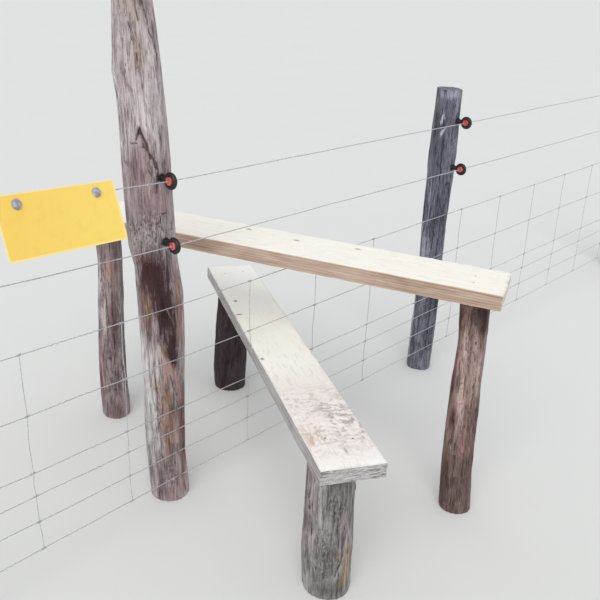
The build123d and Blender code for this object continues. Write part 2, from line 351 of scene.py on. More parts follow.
def finish_material(material, base, roughness, relief=None, **constants):
    """Plugs colour and roughness into the shader, and a relief as its height, strength and
    depth, and sets the shader's constants."""
    tree = material.node_tree
    shader = tree.nodes["Principled BSDF"]
    socket(tree, shader.inputs["Base Color"], base)
    socket(tree, shader.inputs["Roughness"], roughness)
    if relief:
        height, strength, depth = relief
        bump = add_node(tree, "ShaderNodeBump", {"Height": height, "Strength": strength, "Distance": depth})
        tree.links.new(bump.outputs["Normal"], shader.inputs["Normal"])
    for key, value in constants.items():
        shader.inputs[key.replace("_", " ")].default_value = value
    return material


# Studio: a pale floor, soft light from above, and the camera at the photograph's angle

def floor():
    bpy.ops.mesh.primitive_plane_add(size=800, location=(0, 0, 0))
    sheet = bpy.context.active_object
    sheet.name = "floor"
    material, tree = new_material("floor_paper")
    tone = tint(tree, grains(tree, place_in(tree), 1.5), colour(222, 222, 219), colour(226, 226, 223))
    sheet.data.materials.append(finish_material(material, tone, 0.95))


def daylight():
    """An overcast sky, brightest high up behind the camera."""
    world = bpy.data.worlds.new("overcast")
    world.use_nodes = True
    background = world.node_tree.nodes["Background"]
    background.inputs["Color"].default_value = (0.93, 0.96, 1.0, 1)
    background.inputs["Strength"].default_value = 0.70
    bpy.context.scene.world = world
    sky = bpy.data.lights.new("bright_sky", "SUN")
    sky.energy = 1.62
    sky.angle = math.radians(50)
    sky.color = (1.0, 0.99, 0.97)
    lamp = new_object("bright_sky", sky)
    lamp.rotation_euler = Vector((-0.85, -0.55, 0.95)).to_track_quat("Z", "Y").to_euler()


def camera():
    lens = bpy.data.cameras.new("camera")
    lens.lens = 47.23
    lens.sensor_width = 36
    lens.sensor_fit = "HORIZONTAL"
    viewer = new_object("camera", lens)
    right = Vector((0.6899, -0.7204, 0.0707))
    up = Vector((0.2411, 0.3207, 0.9160))
    back = Vector((-0.6826, -0.6149, 0.3950))
    turn = Matrix((right, up, back)).transposed()
    viewer.matrix_world = Matrix.Translation((-1.283, -1.6477, 1.5771)) @ turn.to_4x4()
    bpy.context.scene.camera = viewer
    bpy.context.scene.view_settings.view_transform = "Standard"


# Logs

CRACK_DEPTH = 0.0028
KNOT_HEIGHT = 0.0025
LUMPS = 0.0070
FIBRES = 0.0035


def log_frame(name):
    """Foot of a log, and the turn of its axis."""
    foot, head, _ = LOGS[name]
    axis = (Vector(head) - Vector(foot)).normalized()
    across = Vector((0, 1, 0)).cross(axis).normalized()
    return Vector(foot), Matrix((across, axis.cross(across), axis)).transposed().to_euler()


def around(name, points):
    """Height and bearing in degrees of each point, seen from the log's heart."""
    foot, head, _ = LOGS[name]
    share = points[:, 2] / head[2]
    off_x = points[:, 0] - foot[0] - share * (head[0] - foot[0])
    off_y = points[:, 1] - foot[1] - share * (head[1] - foot[1])
    return points[:, 2], np.degrees(np.arctan2(off_y, off_x))


def across_log(name, bearing, middle):
    """Distance round a log from a bearing, in metres."""
    return np.radians((bearing - middle + 180) % 360 - 180) * LOGS[name][2]


def patch(name, points, height, bearing, tall, wide, slant=0.0):
    """An oval place on a log: 1 in its middle, 0 at its rim and below 0 outside."""
    level, turned = around(name, points)
    arc = across_log(name, turned, bearing) - slant * (level - height)
    return np.clip(1 - np.hypot((level - height) / tall, arc / wide), -1, 1)


def waver(values, pitch, seed):
    """A random waver from -1 to 1 along values, with a turn in each pitch."""
    marks = np.arange(values.min(), values.max() + 2 * pitch, pitch)
    return np.interp(values, marks, np.random.default_rng(seed).uniform(-1, 1, len(marks)))


def crack(name, points, width, route, seed):
    """How far each point is in a split or torn edge along (height, bearing) places, from 0 to 1.
    The edge wavers, narrows and widens."""
    level, turned = around(name, points)
    arc = across_log(name, turned, route[0][1])
    opening = width * (0.64 + 0.36 * waver(level, 0.012, seed))
    shifted = arc + 0.0016 * waver(level, 0.016, seed + 1) + 0.0008 * waver(level, 0.005, seed + 2)
    raised = level + 0.0014 * waver(arc, 0.006, seed + 3)
    nearest = np.full(len(points), 1.0)
    for (low, start), (high, end) in zip(route, route[1:]):
        first = across_log(name, start, route[0][1])
        rise, run = high - low, across_log(name, end, route[0][1]) - first
        share = np.clip(((raised - low) * rise + (shifted - first) * run) / (rise ** 2 + run ** 2), 0, 1)
        nearest = np.minimum(nearest, np.hypot(raised - low - share * rise, shifted - first - share * run))
    return np.clip(1.2 - nearest / opening, 0, 1)


def push(piece, group, strength):
    """Pushes the points of a vertex group out along their normals."""
    apply_modifier(piece, "DISPLACE", vertex_group=group, strength=strength, mid_level=0.0)


def roughen(piece, group, strength, grain, at, middle=1.0, kind="CLOUDS", **look):
    """Pushes the points of a vertex group along their normals by a texture, with a grain stretched
    along the piece that stands at the given place and turn."""
    texture = bpy.data.textures.new(kind.lower(), kind)
    texture.noise_scale = 0.25
    for key, value in look.items():
        setattr(texture, key, value)
    guide = new_object("guide", None)
    guide.location, guide.rotation_euler = at
    guide.scale = grain
    bpy.context.view_layer.update()
    apply_modifier(piece, "DISPLACE", vertex_group=group, strength=strength, mid_level=middle,
                   texture=texture, texture_coords="OBJECT", texture_coords_object=guide)
    bpy.data.objects.remove(guide)
    bpy.data.textures.remove(texture)


def rough_log(node, voxel, cracks, knots, bark, middle):
    """A log from its CAD shape, with lumps, fibres, cracks and knots on its sides. With a middle
    of 0.5 the lumps stand out as much as the hollows go in; with 1 they hardly leave the CAD shape."""
    at = log_frame(node)
    head_height = LOGS[node][1][2]
    piece = copy_of_node(node, node + "_wood")
    apply_modifier(piece, "REMESH", mode="VOXEL", voxel_size=voxel, adaptivity=0.0)
    level = rows_of(piece)[:, 2]
    flat = np.abs(rows_of(piece, "normal")[:, 2]) > 0.8
    sides = np.where(flat, 0.0, ease(level, 0.0, 0.012) * ease(head_height - level, 0.0, 0.008))
    weigh(piece, "sides", sides)
    apply_modifier(piece, "SMOOTH", factor=0.5, iterations=12, vertex_group="sides")
    roughen(piece, "sides", LUMPS, (0.25, 0.25, 0.9), at, middle, noise_depth=2)
    roughen(piece, "sides", FIBRES, (0.055, 0.055, 0.55), at, middle, noise_depth=3)
    if bark:
        roughen(piece, "sides", bark, (0.10, 0.10, 0.5), at, middle, "MUSGRAVE",
                musgrave_type="RIDGED_MULTIFRACTAL", octaves=3)
    points = rows_of(piece)
    deep = np.zeros(len(points))
    for number, (width, *route) in enumerate(cracks):
        deep = np.maximum(deep, crack(node, points, width, route, 10 * number))
    knotted = np.full(len(points), -1.0)
    for height, bearing, size in knots:
        knotted = np.maximum(knotted, patch(node, points, height, bearing, size * 1.5, size))
    weigh(piece, "cracks", deep * sides)
    weigh(piece, "knots", np.clip(1.6 * knotted, 0, 1) * (1 - deep) * sides)
    push(piece, "cracks", -CRACK_DEPTH)
    if middle < 1:
        push(piece, "knots", KNOT_HEIGHT)
    paint(piece, "crack", deep)
    paint(piece, "knot", knotted)
    paint(piece, "sawn", np.where(flat & (level > head_height - 0.01), 1.0, 0.0))
    select_only(piece)
    bpy.ops.object.shade_smooth()
    return piece


def log_wood(name, log, tones, marks, contrast, checked, knot):
    """Weathered round wood: mottled tones, streaks along the log, fine fibres and drying checks,
    painted marks that break up along the grain, scaly places, cracks, knots and a sawn top."""
    light, middle, dark = (colour(*tone) for tone in tones)
    knot = colour(*knot)
    material, tree = new_material(name)
    here = place_in(tree, *log_frame(log))
    broad = grains(tree, here, 12, 3, 0.5, 0.0, (1, 1, 3))
    patches = grains(tree, here, 52, 5, 0.68, 0.3, (1, 1, 3))
    streaks = grains(tree, here, 105, 7, 0.72, 0.3, (1, 1, 15))
    fibres = grains(tree, here, 430, 5, 0.7, 0.0, (1, 1, 26))
    specks = grains(tree, here, 200, 4, 0.7, 0.0, (1, 1, 2.2))
    tone = weighted(tree, (broad, 0.22), (patches, 0.24), (streaks, 0.34), (fibres, 0.20))
    tone = levels(tree, tone, 0.5 - 0.085 / contrast, 0.5 + 0.085 / contrast)
    base = ramp(tree, tone, dark, middle, light)
    ragged = weighted(tree, (streaks, 2.2), (patches, 1.6), (1.0, -1.9))
    for mark, shade, amount, *_ in marks:
        shade = colour(*shade)
        inside = ramp(tree, tone, scaled(shade, 0.38), shade, scaled(shade, 1.7))
        share = reckon(tree, "ADD", painted(tree, mark), ragged)
        base = lay(tree, base, inside, share, -0.05, 0.50, amount)
    scaly = levels(tree, reckon(tree, "ADD", painted(tree, "scaly"), ragged), 0.0, 0.5)
    base = tint(tree, product(tree, scaly, 0.35), base, scaled(middle, 0.5))
    base = lay(tree, base, scaled(dark, 0.6), specks, 0.50, 0.60, 0.85, scaly)
    base = lay(tree, base, light, specks, 0.40, 0.32, 0.8, scaly)

    def fissures(scale, stretch, width, cover):
        wander = grains(tree, here, scale, 3, 0.55, 0.4, (1, 1, stretch))
        line = levels(tree, size_of(tree, weighted(tree, (wander, 1.0), (1.0, -0.5))), 0.0, width, 1.0, 0.0)
        spread = grains(tree, here, 0.6 * scale, 3, stretch=(1, 1, 5))
        return product(tree, line, levels(tree, spread, cover, cover + 0.08))

    checks = product(tree, fissures(150, 26, 0.035, 0.46), 0.7)
    checks = reckon(tree, "MAXIMUM", fissures(44, 20, 0.016, 0.52), checks)
    base = tint(tree, product(tree, checks, checked), base, scaled(dark, 0.5))
    knotty = weighted(tree, (painted(tree, "knot"), 1.0), (ragged, 0.35))
    base = lay(tree, base, colour(176, 166, 162), knotty, 0.0, 0.40, 0.5, blend="MULTIPLY")
    base = lay(tree, base, knot, knotty, 0.45, 0.70, 0.85)
    # Along each crack a soft band of painted shade, and inside it the crack's dark line, broken up by the
    # pattern.
    split = weighted(tree, (painted(tree, "crack"), 1.0), (ragged, 0.45))
    base = lay(tree, base, colour(170, 160, 158), split, 0.0, 0.55, 0.45, blend="MULTIPLY")
    broken = levels(tree, weighted(tree, (patches, 0.6), (specks, 0.4)), 0.40, 0.54, 0.45, 0.90)
    base = lay(tree, base, knot, split, 0.40, 0.95, within=broken)
    rings = add_node(tree, "ShaderNodeTexWave", {
        "Vector": here, "Scale": 70.0, "Distortion": 4.0, "Detail": 4.0, "Detail Scale": 1.5},
        wave_type="RINGS", rings_direction="Z")
    top = lay(tree, middle, light, rings.outputs["Fac"], 0.2, 0.9)
    top = lay(tree, top, middle, patches, 0.4, 0.6)
    base = tint(tree, painted(tree, "sawn"), base, top)
    height = weighted(tree, (streaks, 0.6), (fibres, 0.35), (patches, 0.3), (checks, -0.9))
    roughness = levels(tree, streaks, 0.3, 0.7, 0.78, 0.95)
    return finish_material(material, base, roughness, (height, 0.9, 0.0036), Specular_IOR_Level=0.22)


def dressed_log(log, wood, voxel, tones, cracks, knots=(), marks=(), scaly=(), bark=0.0, middle=0.5,
                contrast=1.0, checked=0.6, knot=(74, 56, 54)):
    """A log with its wood. Its tones run from light to dark. A crack is its width and a route of
    (height, bearing) places. A mark is its name, its tone, its strength and its oval places."""
    piece = rough_log(log, voxel, cracks, knots, bark, middle)
    points = rows_of(piece)
    for mark, _, _, *places in (*marks, ("scaly", None, None, *scaly)):
        if places:
            paint(piece, mark, np.max([patch(log, points, *place) for place in places], axis=0))
    dress(piece, log_wood(wood, log, tones, marks, contrast, checked, knot), log)


def hand_post():
    dressed_log(
        "hand_post", "hand_post_wood", 0.0030,
        ((216, 207, 206), (180, 167, 168), (118, 102, 102)),
        cracks=(
            (0.0058, (1.150, -130), (1.140, -125), (1.111, -117), (1.090, -107), (1.077, -99), (1.058, -96),
             (1.030, -99), (1.000, -104)),
            (0.0040, (1.128, -127), (1.104, -119), (1.088, -112)),
            (0.0046, (1.084, -106), (1.062, -101)),
            (0.0060, (1.165, -134), (1.136, -146)),
            (0.0064, (1.165, -134), (1.140, -124)),
            (0.0050, (1.125, -163), (1.126, -143)),
            (0.0046, (1.116, -143), (1.118, -126)),
            (0.0044, (1.475, -104), (1.430, -91), (1.400, -86), (1.375, -78), (1.350, -70), (1.315, -64)),
            (0.0036, (1.415, -145), (1.400, -138), (1.375, -139)),
            (0.0034, (1.345, -128), (1.310, -127)),
            (0.0034, (1.500, -125), (1.450, -121), (1.420, -117)),
            (0.0046, (1.060, -119), (1.046, -113)),
            (0.0040, (1.026, -106), (1.012, -103)),
            (0.0042, (0.941, -97), (0.940, -79)),
            (0.0030, (0.935, -101), (0.915, -100)),
            (0.0034, (0.860, -150), (0.835, -152), (0.815, -150)),
            (0.0030, (0.575, -118), (0.530, -104), (0.490, -92)),
            (0.0036, (0.660, -96), (0.600, -90), (0.540, -84)),
            (0.0036, (0.455, -104), (0.420, -95), (0.380, -86)),
            (0.0030, (0.44, -143), (0.30, -140), (0.16, -142)),
            (0.0050, (0.30, 60), (0.80, 50), (1.30, 66)),
            (0.0040, (0.15, 130), (0.50, 121), (0.95, 126))),
        knots=((1.156, -134, 0.0130), (1.36, 30, 0.016), (0.62, 80, 0.014), (0.745, -112, 0.007)),
        marks=(
            ("taupe", (150, 134, 126), 0.80, (1.50, -135, 0.11, 0.060), (1.35, -122, 0.06, 0.022)),
            # The last dusky place, a slanted streak beside the main crack, is painted shade.
            ("dusky", (142, 118, 120), 0.80, (1.055, -142, 0.085, 0.042), (0.97, -118, 0.070, 0.060),
             (1.02, -72, 0.05, 0.015), (0.06, -125, 0.09, 0.070), (1.105, -118, 0.055, 0.012, -0.35)),
            ("rust", (120, 88, 80), 0.88, (0.67, -156, 0.160, 0.028), (0.80, -140, 0.050, 0.040),
             (0.24, -66, 0.22, 0.026)),
            ("tan", (150, 118, 104), 0.85, (0.66, -66, 0.150, 0.014), (0.30, -116, 0.200, 0.030),
             (0.53, -112, 0.060, 0.009, -0.32)),
            ("maroon", (66, 40, 42), 0.97, (0.67, -108, 0.185, 0.036, -0.05), (0.77, -128, 0.075, 0.062),
             (0.54, -94, 0.100, 0.022)),
            # Painted reflection of the sky: a light strip down the post's left edge.
            ("silver", (184, 180, 178), 0.88, (0.30, -178, 0.300, 0.044), (0.64, -192, 0.170, 0.010),
             (1.18, -203, 0.230, 0.013)),
            ("rosy", (172, 138, 132), 0.90, (0.480, -110, 0.035, 0.017), (0.415, -82, 0.060, 0.012, -0.25),
             (0.65, -97, 0.035, 0.003, -0.3), (0.68, -146, 0.035, 0.004)),
            ("ochre", (146, 122, 86), 0.75, (0.425, -144, 0.060, 0.005), (0.655, -150, 0.030, 0.012))),
        scaly=((0.885, -128, 0.085, 0.075), (0.10, -128, 0.06, 0.040)), contrast=1.2)


def split_post():
    dressed_log(
        "split_post", "split_post_wood", 0.0034,
        ((162, 162, 174), (116, 115, 128), (68, 66, 79)),
        cracks=(
            (0.0034, (0.55, -150), (0.75, -146), (1.00, -150)),
            (0.0030, (0.80, -95), (0.95, -99), (1.10, -96)),
            (0.0034, (0.10, -120), (0.35, -118), (0.60, -123)),
            (0.0045, (0.20, 40), (0.70, 48), (1.15, 44)),
            (0.0035, (0.30, 140), (0.60, 135), (0.90, 141))),
        knots=((0.83, -110, 0.007),),
        marks=(
            ("shaded", (86, 85, 100), 0.7, (1.02, -160, 0.25, 0.03), (0.6, -130, 0.4, 0.02)),
            ("pale", (160, 158, 172), 0.75, (1.165, -145, 0.022, 0.05), (0.72, 170, 0.12, 0.012),
             (0.58, 165, 0.08, 0.014)),
            ("scratched", (212, 212, 222), 0.9, (1.075, -165, 0.022, 0.007, 0.2),
             (1.078, -155, 0.022, 0.003, -0.3), (1.030, -158, 0.020, 0.006, 0.3))),
        bark=0.0012, contrast=1.25, checked=0.7, knot=(42, 40, 48))


def end_posts():
    for log, bearing in (("left_end_post", -80), ("right_end_post", -120)):
        dressed_log(
            log, log + "_wood", 0.0040, ((206, 197, 196), (162, 148, 147), (104, 88, 86)),
            cracks=(
                (0.0036, (0.35, bearing), (0.70, bearing + 6), (1.08, bearing - 3)),
                (0.0045, (0.10, bearing + 150), (0.50, bearing + 158), (0.95, bearing + 149))),
            knots=((0.55, bearing + 40, 0.012), (0.90, bearing - 120, 0.012)),
            marks=(("dusky", (112, 88, 84), 0.75, (0.25, bearing + 20, 0.35, 0.08)),), middle=1.0)


def lower_tread_legs():
    dressed_log(
        "lower_tread_near_leg", "stout_leg_wood", 0.0028,
        ((188, 186, 184), (152, 148, 146), (96, 92, 91)),
        cracks=(
            (0.0040, (0.240, -96), (0.205, -102), (0.155, -103), (0.120, -109), (0.080, -121)),
            (0.0032, (0.305, -127), (0.250, -126)),
            (0.0030, (0.215, -112), (0.170, -114)),
            (0.0028, (0.20, 165), (0.27, 167), (0.35, 166)),
            (0.0028, (0.17, 178), (0.30, 176), (0.38, 179)),
            (0.0045, (0.08, 60), (0.25, 66), (0.40, 58))),
        knots=((0.262, -119, 0.004), (0.33, -60, 0.010)),
        marks=(
            ("mauve", (162, 148, 149), 0.8, (0.31, 166, 0.17, 0.034), (0.23, -98, 0.060, 0.024)),
            # The first dusky place, just under the lower tread, is painted shade from the plank.
            ("dusky", (104, 100, 98), 0.7, (0.40, -125, 0.05, 0.060), (0.03, -120, 0.045, 0.060)),
            ("ochre", (142, 128, 92), 0.75, (0.145, -117, 0.020, 0.010), (0.055, -106, 0.032, 0.011)),
            ("orange", (156, 130, 106), 0.75, (0.105, -86, 0.070, 0.022, 0.08))),
        scaly=((0.135, -145, 0.100, 0.036), (0.30, -128, 0.05, 0.04)), bark=0.0012, contrast=1.15,
        knot=(46, 42, 42))
    dressed_log(
        "lower_tread_far_leg", "dark_and_shaded_leg_wood", 0.0034,
        # The dark tones are partly the wood's own colour, partly painted shade from the plank above.
        ((96, 83, 86), (70, 58, 62), (36, 27, 31)), cracks=(),
        marks=(("maroon", (78, 38, 44), 0.8, (0.37, -165, 0.06, 0.035)),),
        bark=0.0016, contrast=0.9, checked=0.4)


def upper_tread_legs():
    dressed_log(
        "upper_tread_near_leg", "slim_leg_wood", 0.0028,
        ((196, 172, 164), (148, 125, 119), (92, 70, 66)),
        cracks=(
            (0.0034, (0.53, -190), (0.49, -187), (0.45, -190)),
            (0.0028, (0.62, -150), (0.57, -148), (0.52, -151)),
            (0.0042, (0.335, -184), (0.300, -182), (0.255, -185)),
            (0.0026, (0.47, -118), (0.40, -121), (0.34, -118)),
            (0.0034, (0.215, -166), (0.170, -164)),
            (0.0040, (0.15, 20), (0.40, 26), (0.66, 18))),
        knots=((0.645, -112, 0.009), (0.60, -128, 0.005), (0.30, 60, 0.012)),
        marks=(
            ("pale", (184, 162, 154), 0.8, (0.590, -172, 0.06, 0.014), (0.45, -98, 0.11, 0.009),
             (0.42, -168, 0.09, 0.010), (0.31, -212, 0.02, 0.005)),
            ("claret", (96, 62, 60), 0.85, (0.44, -214, 0.070, 0.014), (0.34, -190, 0.050, 0.012),
             (0.66, -210, 0.05, 0.010)),
            ("rosy", (172, 126, 124), 0.75, (0.535, -200, 0.045, 0.007), (0.69, -190, 0.04, 0.012),
             (0.26, -140, 0.07, 0.012)),
            ("shaded", (62, 48, 46), 0.85, (0.69, -118, 0.055, 0.040), (0.655, -100, 0.050, 0.020)),
            # Darker towards the foot.
            ("earthy", (86, 71, 67), 0.75, (0.0, -150, 0.27, 0.24))),
        bark=0.0012, contrast=1.2)
    dressed_log(
        "upper_tread_far_leg", "far_leg_wood", 0.0034,
        ((188, 173, 173), (152, 135, 136), (98, 82, 83)),
        cracks=(
            (0.0030, (0.58, -168), (0.50, -165), (0.44, -168)),
            (0.0036, (0.50, -148), (0.44, -142), (0.38, -137)),
            (0.0028, (0.10, -120), (0.30, -116), (0.48, -121)),
            (0.0040, (0.10, 30), (0.35, 24), (0.60, 31))),
        knots=((0.25, -140, 0.007),),
        marks=(
            ("tan", (166, 132, 122), 0.8, (0.22, 178, 0.14, 0.012), (0.58, -120, 0.06, 0.020)),
            ("pale", (186, 178, 174), 0.8, (0.55, 172, 0.16, 0.014), (0.42, -160, 0.10, 0.014),
             (0.30, -85, 0.22, 0.016)),
            ("claret", (112, 84, 84), 0.7, (0.40, -112, 0.14, 0.014), (0.03, -120, 0.05, 0.030))),
        bark=0.0010, contrast=1.15)


# Planks

EASED_EDGE = 0.0028
DENTS = 0.0016
EDGE_WEAR = 0.0022
WORN_BAND = (0.010, 0.002)  # distances from the edge where the wear starts and is full
PIT_RADIUS = 0.0062
HEAD_RADIUS = 0.0046
HEAD_HEIGHT = 0.0030


def sawn_plank(name, screws):
    """A plank from a cube: eased edges, then cut into a fine grid for its small dents."""
    top, heading, (length, width, thickness) = PLANKS[name]
    plank = settle(box((length, width, thickness), (0, 0, -thickness / 2)), name + "_board")
    edit_all(plank)
    bpy.ops.mesh.bevel(offset=EASED_EDGE, segments=3)
    for axis, run, cuts in ((0, length, 190), (1, width, 24), (2, thickness, 6)):
        select_edges(plank, lambda first, second: abs(first[axis] - second[axis]) > run / 2)
        bpy.ops.mesh.subdivide(number_cuts=cuts)
    bpy.ops.object.mode_set(mode="OBJECT")
    points = rows_of(plank)
    weigh(plank, "all", np.ones(len(points)))
    at = ((0, 0, 0), (0, 0, 0))
    roughen(plank, "all", DENTS, (0.35, 0.12, 0.12), at, noise_depth=3)
    start, full = WORN_BAND
    edge = np.maximum(ease(np.abs(points[:, 1]), width / 2 - start, width / 2 - full),
                      ease(np.abs(points[:, 0]), length / 2 - start, length / 2 - full))
    weigh(plank, "edges", edge)
    roughen(plank, "edges", EDGE_WEAR, (0.16, 0.05, 0.05), at, noise_depth=3)
    for x, y in screws:
        bpy.ops.mesh.primitive_cone_add(vertices=20, radius1=0.0, radius2=PIT_RADIUS, depth=0.006,
                                        location=(x, y, -0.0012))
        cut(plank, bpy.context.active_object)
    plank.location = top
    plank.rotation_euler = (0, 0, math.radians(heading))
    settle(plank, name + "_board")
    smooth(plank, 35)
    return plank


def screw_heads(name, plank, screws):
    """Countersunk heads with a cross recess, sunk a little below the plank's face. Each cross
    stands at a turn of its own."""
    head = settle(cylinder(HEAD_RADIUS, HEAD_HEIGHT, 20, location=(0, 0, -HEAD_HEIGHT)), "head")
    apply_modifier(head, "BEVEL", width=0.0006, segments=2)
    for turn in (0, 90):
        cut(head, box((0.0052, 0.0011, 0.0022), (0, 0, -0.0015), turn))
    top, heading, _ = PLANKS[plank]
    base = Matrix.Translation(top) @ Matrix.Rotation(math.radians(heading), 4, "Z")
    places = []
    for x, y in screws:
        turn = 6.3 * x + 40 * y
        places.append(base @ Matrix.Translation((x, y, 0)) @ Matrix.Rotation(turn, 4, "Z"))
    return copies(head, name, places)


def sawn_wood(name, plank, heart, top_face, shaded_side_face, end_face, knots, knot_tone, marks):
    """Sawn softwood: growth rings round a heart line that runs along the plank, so that faces
    and ends match, fine fibres, saw marks, small knots and scuffs. A face is its light tone, its
    dark tone, the depth of its veins and the tone of its edges; an end has no edge tone. A knot is
    its place and half its size. A mark is its pattern, its reach along and across the plank, the
    level at which it starts, its strength and its tone."""
    material, tree = new_material(name)
    top, heading, (length, _, thickness) = PLANKS[plank]
    here = place_in(tree, top, (0, 0, math.radians(heading)))
    along, across, down = add_node(tree, "ShaderNodeSeparateXYZ", {0: here}).outputs
    centred = seen_from(tree, here, (0, *heart), stretch=(9, 1, 1))
    rings = add_node(tree, "ShaderNodeTexWave", {
        "Vector": centred, "Scale": 46.0, "Distortion": 5.0, "Detail": 3.0, "Detail Scale": 0.8,
        "Detail Roughness": 0.5}, wave_type="RINGS", rings_direction="X")
    cloudy = grains(tree, here, 15, 4, 0.6, 0.5, (4, 1, 1))
    late_wood = product(tree, levels(tree, rings.outputs["Fac"], 0.40, 0.95),
                        levels(tree, cloudy, 0.35, 0.6, 0.4, 1.0))
    fibres = grains(tree, here, 420, 5, 0.6, 0.0, (30, 1, 1))
    bands = grains(tree, here, 90, 4, 0.6, 0.0, (16, 1, 1))
    saw = grains(tree, here, 210, 3, 0.6, 0.0, (1, 14, 14))
    specks = grains(tree, here, 240, 5, 0.7)
    patterns = {
        "scuffs": grains(tree, here, 42, 7, 0.72, 1.6, (1, 1.6, 1)),
        "strokes": grains(tree, here, 80, 5, 0.65, 0.5, (5, 0.8, 1)),
    }

    def face(light, dark, veins, edge):
        share = weighted(tree, (late_wood, 0.45 * veins), (levels(tree, fibres, 0.35, 0.65), 0.35 * veins),
                         (levels(tree, bands, 0.36, 0.64), 0.45 * veins),
                         (levels(tree, cloudy, 0.4, 0.65), 0.35 * veins))
        rim = reckon(tree, "MAXIMUM", levels(tree, down, -0.006, -0.003),
                     levels(tree, down, 0.006 - thickness, 0.003 - thickness))
        rim = product(tree, rim, levels(tree, bands, 0.3, 0.6, 0.35, 0.9))
        return tint(tree, rim, tint(tree, share, colour(*light), colour(*dark)), colour(*edge))

    # The sides and bottom take darker tones than the top: partly the wood's own colour, partly painted
    # shade of faces turned from the light.
    base = face(*shaded_side_face)
    upper = lay(tree, face(*top_face), colour(*top_face[1]), saw, 0.55, 0.75, 0.15)
    for x, y, long, wide in knots:
        spot = seen_from(tree, here, (x, y, 0), stretch=(long, wide, 0.5))
        reach = add_node(tree, "ShaderNodeVectorMath", {0: spot}, operation="LENGTH").outputs["Value"]
        reach = weighted(tree, (reach, 1.0), (specks, 1.2), (1.0, -0.6))
        upper = lay(tree, upper, colour(*knot_tone), reach, 2.2, 0.9, 0.25)
        upper = lay(tree, upper, colour(*knot_tone), reach, 1.1, 0.6, 0.75)
    for pattern, (start, end), (left, right), low, amount, tone in marks:
        place = product(tree, zone(tree, along, start, end, 0.5 * (end - start)),
                        zone(tree, across, left, right, 0.02))
        upper = lay(tree, upper, colour(*tone), patterns[pattern], low, low + 0.12, amount, place)
    base = lay(tree, base, upper, down, -0.0035, -0.0012)
    rough_end = grains(tree, here, 210, 5, 0.7, 0.8, (1, 7, 1))
    light, dark, depth = end_face
    dark = colour(*dark)
    end = lay(tree, colour(*light), dark, rough_end, 0.56, 0.40, depth)
    end = lay(tree, end, dark, late_wood, 0.3, 0.9, 0.20)
    end = lay(tree, end, scaled(dark, 0.5), specks, 0.60, 0.72, 0.8)
    base = lay(tree, base, end, size_of(tree, along), length / 2 - 0.0030, length / 2 - 0.0012)
    height = weighted(tree, (fibres, 0.6), (saw, 0.4), (late_wood, 0.25), (bands, 0.3))
    roughness = levels(tree, fibres, 0.3, 0.7, 0.62, 0.85)
    return finish_material(material, base, roughness, (height, 0.5, 0.0012), Specular_IOR_Level=0.3)


# Screws along and across each plank, from its middle
LOWER_SCREWS = ((0.538, -0.029), (0.553, 0.040), (-0.590, -0.035), (-0.600, 0.036))
UPPER_SCREWS = ((0.607, -0.038), (0.605, 0.018), (-0.600, -0.034), (-0.612, 0.038))


def planks():
    lower = sawn_plank("lower_tread", LOWER_SCREWS)
    material = sawn_wood(
        "lower_plank_wood", "lower_tread", (0.02, -0.075),
        ((255, 255, 250), (243, 238, 228), 0.50, (254, 252, 244)),
        # Side tones: the wood's own colour, darkened further with painted shade.
        ((208, 205, 203), (148, 142, 141), 0.90, (202, 197, 192)),
        ((206, 205, 203), (72, 70, 70), 0.95),
        ((0.529, 0.077, 0.008, 0.0045), (0.556, 0.067, 0.010, 0.004), (-0.331, -0.056, 0.007, 0.005),
         (-0.221, -0.070, 0.004, 0.010), (0.10, -0.076, 0.006, 0.005), (0.600, 0.003, 0.012, 0.004),
         (0.404, 0.002, 0.007, 0.011), (0.411, -0.017, 0.005, 0.011), (0.416, 0.017, 0.007, 0.007)),
        (100, 86, 78),
        (("scuffs", (0.28, 0.56), (-0.08, 0.08), 0.30, 0.60, (236, 223, 220)),
         ("scuffs", (0.35, 0.56), (-0.07, 0.08), 0.49, 0.62, (186, 171, 170)),
         ("scuffs", (0.41, 0.51), (0.02, 0.08), 0.47, 0.62, (152, 139, 138)),
         ("strokes", (0.50, 0.55), (-0.07, -0.045), 0.46, 0.75, (190, 158, 122)),
         ("strokes", (0.10, 0.62), (-0.08, 0.08), 0.53, 0.45, (214, 204, 194)),
         ("scuffs", (-0.60, 0.10), (-0.08, 0.08), 0.58, 0.25, (216, 208, 200))))
    dress(lower, material, "lower_tread")
    upper = sawn_plank("upper_tread", UPPER_SCREWS)
    material = sawn_wood(
        "upper_plank_wood", "upper_tread", (-0.05, -0.11),
        ((255, 254, 249), (244, 237, 226), 0.50, (250, 244, 232)),
        # Side tones: the wood's own colour, darkened further with painted shade.
        ((207, 186, 170), (152, 122, 104), 0.80, (192, 176, 148)),
        ((255, 252, 242), (206, 192, 172), 0.45),
        ((0.05, 0.03, 0.009, 0.005), (0.24, 0.055, 0.008, 0.005), (-0.12, 0.05, 0.008, 0.005)),
        (150, 118, 98),
        (("scuffs", (-0.2, 0.66), (-0.09, 0.09), 0.56, 0.35, (220, 210, 208)),
         ("strokes", (-0.6, 0.66), (-0.09, 0.09), 0.54, 0.35, (226, 214, 204))))
    dress(upper, material, "upper_tread")
    steel = screw_steel()
    dress(screw_heads("lower_screws", "lower_tread", LOWER_SCREWS), steel, None)
    dress(screw_heads("upper_screws", "upper_tread", UPPER_SCREWS), steel, None)


def screw_steel():
    material, tree = new_material("screw_steel")
    stain = grains(tree, place_in(tree), 900, 4)
    base = lay(tree, colour(96, 88, 78), colour(58, 48, 42), stain, 0.4, 0.65)
    roughness = levels(tree, stain, 0.3, 0.7, 0.45, 0.7)
    return finish_material(material, base, roughness, (stain, 0.4, 0.0003), Metallic=0.7)


# Wires

